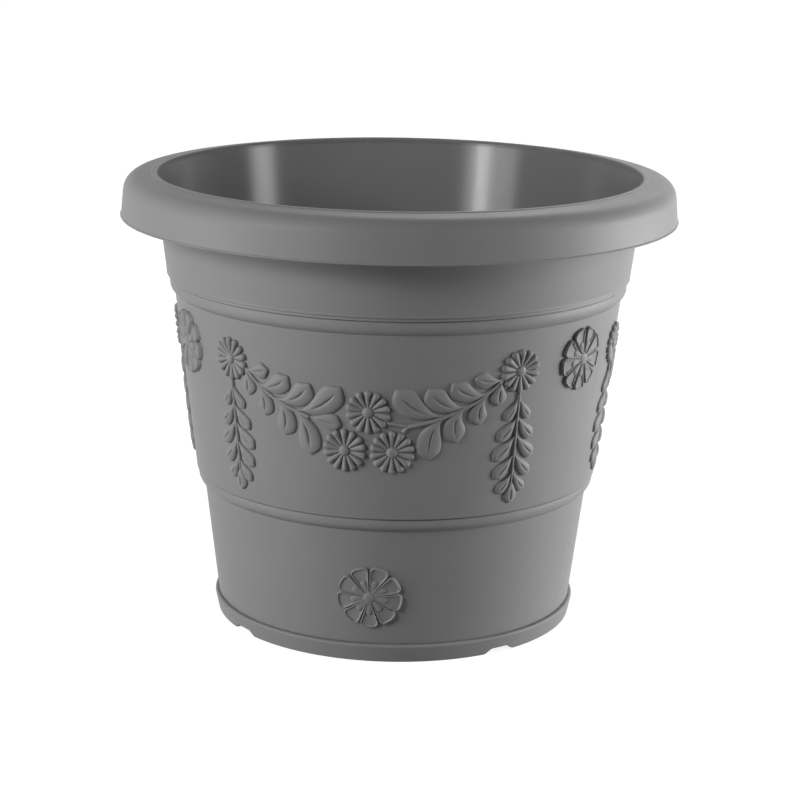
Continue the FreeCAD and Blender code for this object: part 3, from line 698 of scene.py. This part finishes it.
# %% Node helpers
def linear(code):
    """sRGB hex to linear colour: below 0.04045 a division, above it a power of 2.4."""
    c = np.array([int(code[i:i + 2], 16) for i in (1, 3, 5)]) / 255
    return (*np.where(c <= 0.04045, c / 12.92, ((c + 0.055) / 1.055) ** 2.4), 1.0)


def add(tree, kind, inputs, **settings):
    """Adds a node, sets its properties, and sets or links each of its inputs."""
    node = tree.nodes.new(kind)
    for key, value in settings.items():
        setattr(node, key, value)
    for key, value in inputs.items():
        if isinstance(value, bpy.types.NodeSocket):
            tree.links.new(value, node.inputs[key])
        else:
            node.inputs[key].default_value = value
    return node


def new_material(name):
    """Empty node material and its tree."""
    material = bpy.data.materials.new(name)
    material.use_nodes = True
    material.node_tree.nodes.clear()
    return material, material.node_tree


def per_mm(size):
    """Noise scale for features of a size in mm, on Object coordinates in metres."""
    return 1.0 / (size * MM)


# %% [markdown]
# The plastic is polypropylene. Outside, the mould was blasted, so the surface is matt with a fine
# grain. The colour is mixed into the plastic, so it hardly changes: a little cloudiness is all that
# shows.

# %% Matt outside
GRAIN_MM = 1.1           # the real grain is about 0.2 mm and would not show, so it is drawn coarser
CLOUD_MM = 45.0
NOISE_LOW, NOISE_HIGH = 0.3, 0.7     # range that the noise mostly keeps to
PLASTIC_IOR = 1.49

matt, tree = new_material("polypropylene_blasted_mould")
place = add(tree, "ShaderNodeTexCoord", {}).outputs["Object"]
grain = add(tree, "ShaderNodeTexNoise", {"Vector": place, "Scale": per_mm(GRAIN_MM), "Detail": 2.0})
cloud = add(tree, "ShaderNodeTexNoise", {"Vector": place, "Scale": per_mm(CLOUD_MM), "Detail": 3.0})
colour = add(tree, "ShaderNodeMix", {"Factor": cloud.outputs["Fac"], "A": linear("#747474"),
                                     "B": linear("#7c7c7c")}, data_type="RGBA")
rough = add(tree, "ShaderNodeMapRange", {"Value": cloud.outputs["Fac"], "From Min": NOISE_LOW,
                                         "From Max": NOISE_HIGH, "To Min": 0.47, "To Max": 0.55})
bump = add(tree, "ShaderNodeBump", {"Height": grain.outputs["Fac"], "Strength": 0.12, "Distance": 0.2 * MM})
shader = add(tree, "ShaderNodeBsdfPrincipled", {"Base Color": colour.outputs["Result"], "IOR": PLASTIC_IOR,
                                                "Specular IOR Level": 0.16,
                                                "Roughness": rough.outputs["Result"],
                                                "Normal": bump.outputs["Normal"]})
add(tree, "ShaderNodeOutputMaterial", {"Surface": shader.outputs["BSDF"]})

# %% [markdown]
# Inside, the mould was polished, so the wall is shinier and has faint upright flow marks. The same
# plastic is given a darker colour here: painted shade, standing for the stray light that a polished
# face sends back less of than a blasted one. Its sheen is drawn out along the wall, which makes the upright
# streaks of light.

# %% Smooth inside
FLOW_MM, FLOW_SQUEEZE = 9.0, 0.04    # size of the marks across, and how little they change upwards

gloss, tree = new_material("polypropylene_polished_painted_shade")
place = add(tree, "ShaderNodeTexCoord", {}).outputs["Object"]
stretch = add(tree, "ShaderNodeMapping", {"Vector": place, "Scale": (1.0, 1.0, FLOW_SQUEEZE)})
flow = add(tree, "ShaderNodeTexNoise", {"Vector": stretch.outputs["Vector"], "Scale": per_mm(FLOW_MM),
                                        "Detail": 4.0})
cloud = add(tree, "ShaderNodeTexNoise", {"Vector": place, "Scale": per_mm(CLOUD_MM), "Detail": 4.0})
# darker than the outside's colour for the same plastic: painted shade
colour = add(tree, "ShaderNodeMix", {"Factor": cloud.outputs["Fac"], "A": linear("#626262"),
                                     "B": linear("#6a6a6a")}, data_type="RGBA")
rough = add(tree, "ShaderNodeMapRange", {"Value": flow.outputs["Fac"], "From Min": NOISE_LOW,
                                         "From Max": NOISE_HIGH, "To Min": 0.28, "To Max": 0.32})
bump = add(tree, "ShaderNodeBump", {"Height": flow.outputs["Fac"], "Strength": 0.05, "Distance": 0.3 * MM})
shader = add(tree, "ShaderNodeBsdfPrincipled", {"Base Color": colour.outputs["Result"], "IOR": PLASTIC_IOR,
                                                "Anisotropic": 0.99, "Anisotropic Rotation": 0.25,
                                                "Specular IOR Level": 1.0,
                                                "Roughness": rough.outputs["Result"],
                                                "Normal": bump.outputs["Normal"]})
add(tree, "ShaderNodeOutputMaterial", {"Surface": shader.outputs["BSDF"]})

for piece in (rim, neck, body, drum, foot):
    piece.data.materials.append(matt)
    piece.data.materials.append(gloss)
for piece in ornaments:
    piece.data.materials.append(matt)
print("materials:", [m.name for m in (matt, gloss)])

# %% [markdown]
# The photo was taken from a little above with a long lens. The camera's place, heading and tilt were
# fitted to the outline, the mouth and the foot, so they are plain numbers here.

# %% Camera
FOCAL_PX, IMAGE_PX, SENSOR = 2250.42, 800, 36.0           # SENSOR in mm
CAMERA_DISTANCE, CAMERA_HEIGHT = 1610.46, 568.6           # mm from the axis and above the floor
CAMERA_AZ = 6.95         # degrees round from the garland's middle
HEADING, PITCH, ROLL = 0.0918 - CAMERA_AZ, 14.382, 0.9504

az, heading, pitch, roll = np.radians([CAMERA_AZ, HEADING, PITCH, ROLL])
forward = np.array([np.sin(heading) * np.cos(pitch), np.cos(heading) * np.cos(pitch), -np.sin(pitch)])
right = np.array([np.cos(heading), -np.sin(heading), 0.0])
up = np.cross(right, forward)
right, up = right * np.cos(roll) + up * np.sin(roll), up * np.cos(roll) - right * np.sin(roll)
spot = np.array([CAMERA_DISTANCE * np.sin(az), -CAMERA_DISTANCE * np.cos(az), CAMERA_HEIGHT]) * MM
data = bpy.data.cameras.new("camera")
data.sensor_width = SENSOR
data.lens = FOCAL_PX / IMAGE_PX * SENSOR
camera = bpy.data.objects.new("camera", data)
bpy.context.scene.collection.objects.link(camera)
frame_axes = np.stack([right, up, -forward, spot], 1)
camera.matrix_world = Matrix([*frame_axes.tolist(), [0, 0, 0, 1]])
bpy.context.scene.camera = camera
print("camera lens %.2f mm at" % data.lens, spot.round(4))

# %% [markdown]
# Soft boxes light the pot: some low at both sides, some higher up, and one behind that reaches over
# the rim. All stand at the same distance and face the middle of the pot.

# %% Soft boxes
LAMPS = [                # name, degrees round from the camera, elevation, width and height in m, watts
    ("left_low_box", -75.0, 1.0, 0.7, 0.34, 17.0),
    ("left_box", -51.0, 27.0, 0.85, 0.45, 12.5),
    ("left_strip", -45.0, 22.0, 0.2, 0.5, 6.5),
    ("right_low_box", 100.0, 1.0, 1.2, 0.34, 25.0),
    ("right_front_box", 82.0, 1.0, 0.7, 0.34, 16.0),
    ("right_high_box", 78.0, 22.0, 0.4, 0.5, 8.0),
    ("back_high_box", 160.0, 38.0, 1.0, 0.6, 11.0),
]
LAMP_DISTANCE, LAMP_AIM_Z = 1.8, 0.16     # m


def soft_box(name, az, elevation, width, height, power):
    """Area lamp that faces the pot from an azimuth (0 is the garland's middle) and elevation."""
    a, e = math.radians(az), math.radians(elevation)
    back = np.array([math.sin(a) * math.cos(e), -math.cos(a) * math.cos(e), math.sin(e)])
    side = np.array([math.cos(a), math.sin(a), 0.0])
    data = bpy.data.lights.new(name, "AREA")
    data.shape = "RECTANGLE"
    data.size, data.size_y, data.energy = width, height, power
    lamp = bpy.data.objects.new(name, data)
    bpy.context.scene.collection.objects.link(lamp)
    at = back * LAMP_DISTANCE + np.array([0.0, 0.0, LAMP_AIM_Z])
    axes = np.stack([side, np.cross(back, side), back, at], 1)
    lamp.matrix_world = Matrix([*axes.tolist(), [0, 0, 0, 1]])


for name, turn, *rest in LAMPS:
    soft_box(name, CAMERA_AZ + turn, *rest)
print("lamps:", [lamp[0] for lamp in LAMPS])

# %% [markdown]
# A pale floor carries the pot and its shadow. To the camera it is white, as in the photo, and a
# little less so round the pot. Under the pot it is dark, because no light gets there: without that,
# the drain holes would shine.

# %% Floor
FLOOR_HALF = 12.0        # m
PALE_FROM, PALE_TO, PALE_NEAR = 0.35, 0.9, 0.87           # m, m, and the level inside PALE_FROM
DARK_TO, LIT_FROM, DARK = 0.1, 0.118, 0.03                # m, m, and the level inside DARK_TO
WHITE = linear("#ffffff")


def seen_directly(tree):
    """1 for rays from the camera and for those that a shiny or clear surface sends on, 0 for others."""
    path = add(tree, "ShaderNodeLightPath", {})
    shiny = add(tree, "ShaderNodeMath", {0: path.outputs["Is Camera Ray"], 1: path.outputs["Is Glossy Ray"]},
                operation="MAXIMUM")
    return add(tree, "ShaderNodeMath", {0: shiny.outputs[0], 1: path.outputs["Is Transmission Ray"]},
               operation="MAXIMUM").outputs[0]


mesh = bpy.data.meshes.new("floor")
corners = np.array([(-1, -1, 0), (1, -1, 0), (1, 1, 0), (-1, 1, 0)]) * FLOOR_HALF
mesh.from_pydata(corners, [], [(0, 1, 2, 3)])
floor = bpy.data.objects.new("floor", mesh)
bpy.context.scene.collection.objects.link(floor)
paper, tree = new_material("white_paper_floor")
place = add(tree, "ShaderNodeTexCoord", {}).outputs["Object"]
away = add(tree, "ShaderNodeVectorMath", {0: place}, operation="LENGTH").outputs["Value"]
level = add(tree, "ShaderNodeMapRange", {"Value": away, "From Min": PALE_FROM, "From Max": PALE_TO,
                                         "To Min": PALE_NEAR, "To Max": 1.0})
under = add(tree, "ShaderNodeMapRange", {"Value": away, "From Min": DARK_TO, "From Max": LIT_FROM,
                                         "To Min": DARK, "To Max": 1.0})
shade = add(tree, "ShaderNodeMath", {0: under.outputs["Result"], 1: level.outputs["Result"]},
            operation="MULTIPLY")
white = add(tree, "ShaderNodeMath", {0: seen_directly(tree), 1: shade.outputs[0]}, operation="MULTIPLY")
glow = add(tree, "ShaderNodeEmission", {"Color": WHITE, "Strength": white.outputs[0]})
diffuse = add(tree, "ShaderNodeBsdfDiffuse", {"Color": linear("#909090")})
both = add(tree, "ShaderNodeAddShader", {0: diffuse.outputs[0], 1: glow.outputs[0]})
add(tree, "ShaderNodeOutputMaterial", {"Surface": both.outputs[0]})
floor.data.materials.append(paper)
print("floor material:", paper.name)

# %% [markdown]
# The background is white to the camera too, and otherwise a weak even sky that softens the shadows.

# %% World
SKY_STRENGTH = 0.02

world = bpy.data.worlds.new("studio")
bpy.context.scene.world = world
world.use_nodes = True
tree = world.node_tree
tree.nodes.clear()
white = add(tree, "ShaderNodeBackground", {"Color": WHITE, "Strength": 1.0})
sky = add(tree, "ShaderNodeBackground", {"Color": WHITE, "Strength": SKY_STRENGTH})
mixed = add(tree, "ShaderNodeMixShader", {0: seen_directly(tree), 1: sky.outputs[0], 2: white.outputs[0]})
add(tree, "ShaderNodeOutputWorld", {"Surface": mixed.outputs[0]})
bpy.context.scene.view_settings.view_transform = "Standard"
print("world:", world.name)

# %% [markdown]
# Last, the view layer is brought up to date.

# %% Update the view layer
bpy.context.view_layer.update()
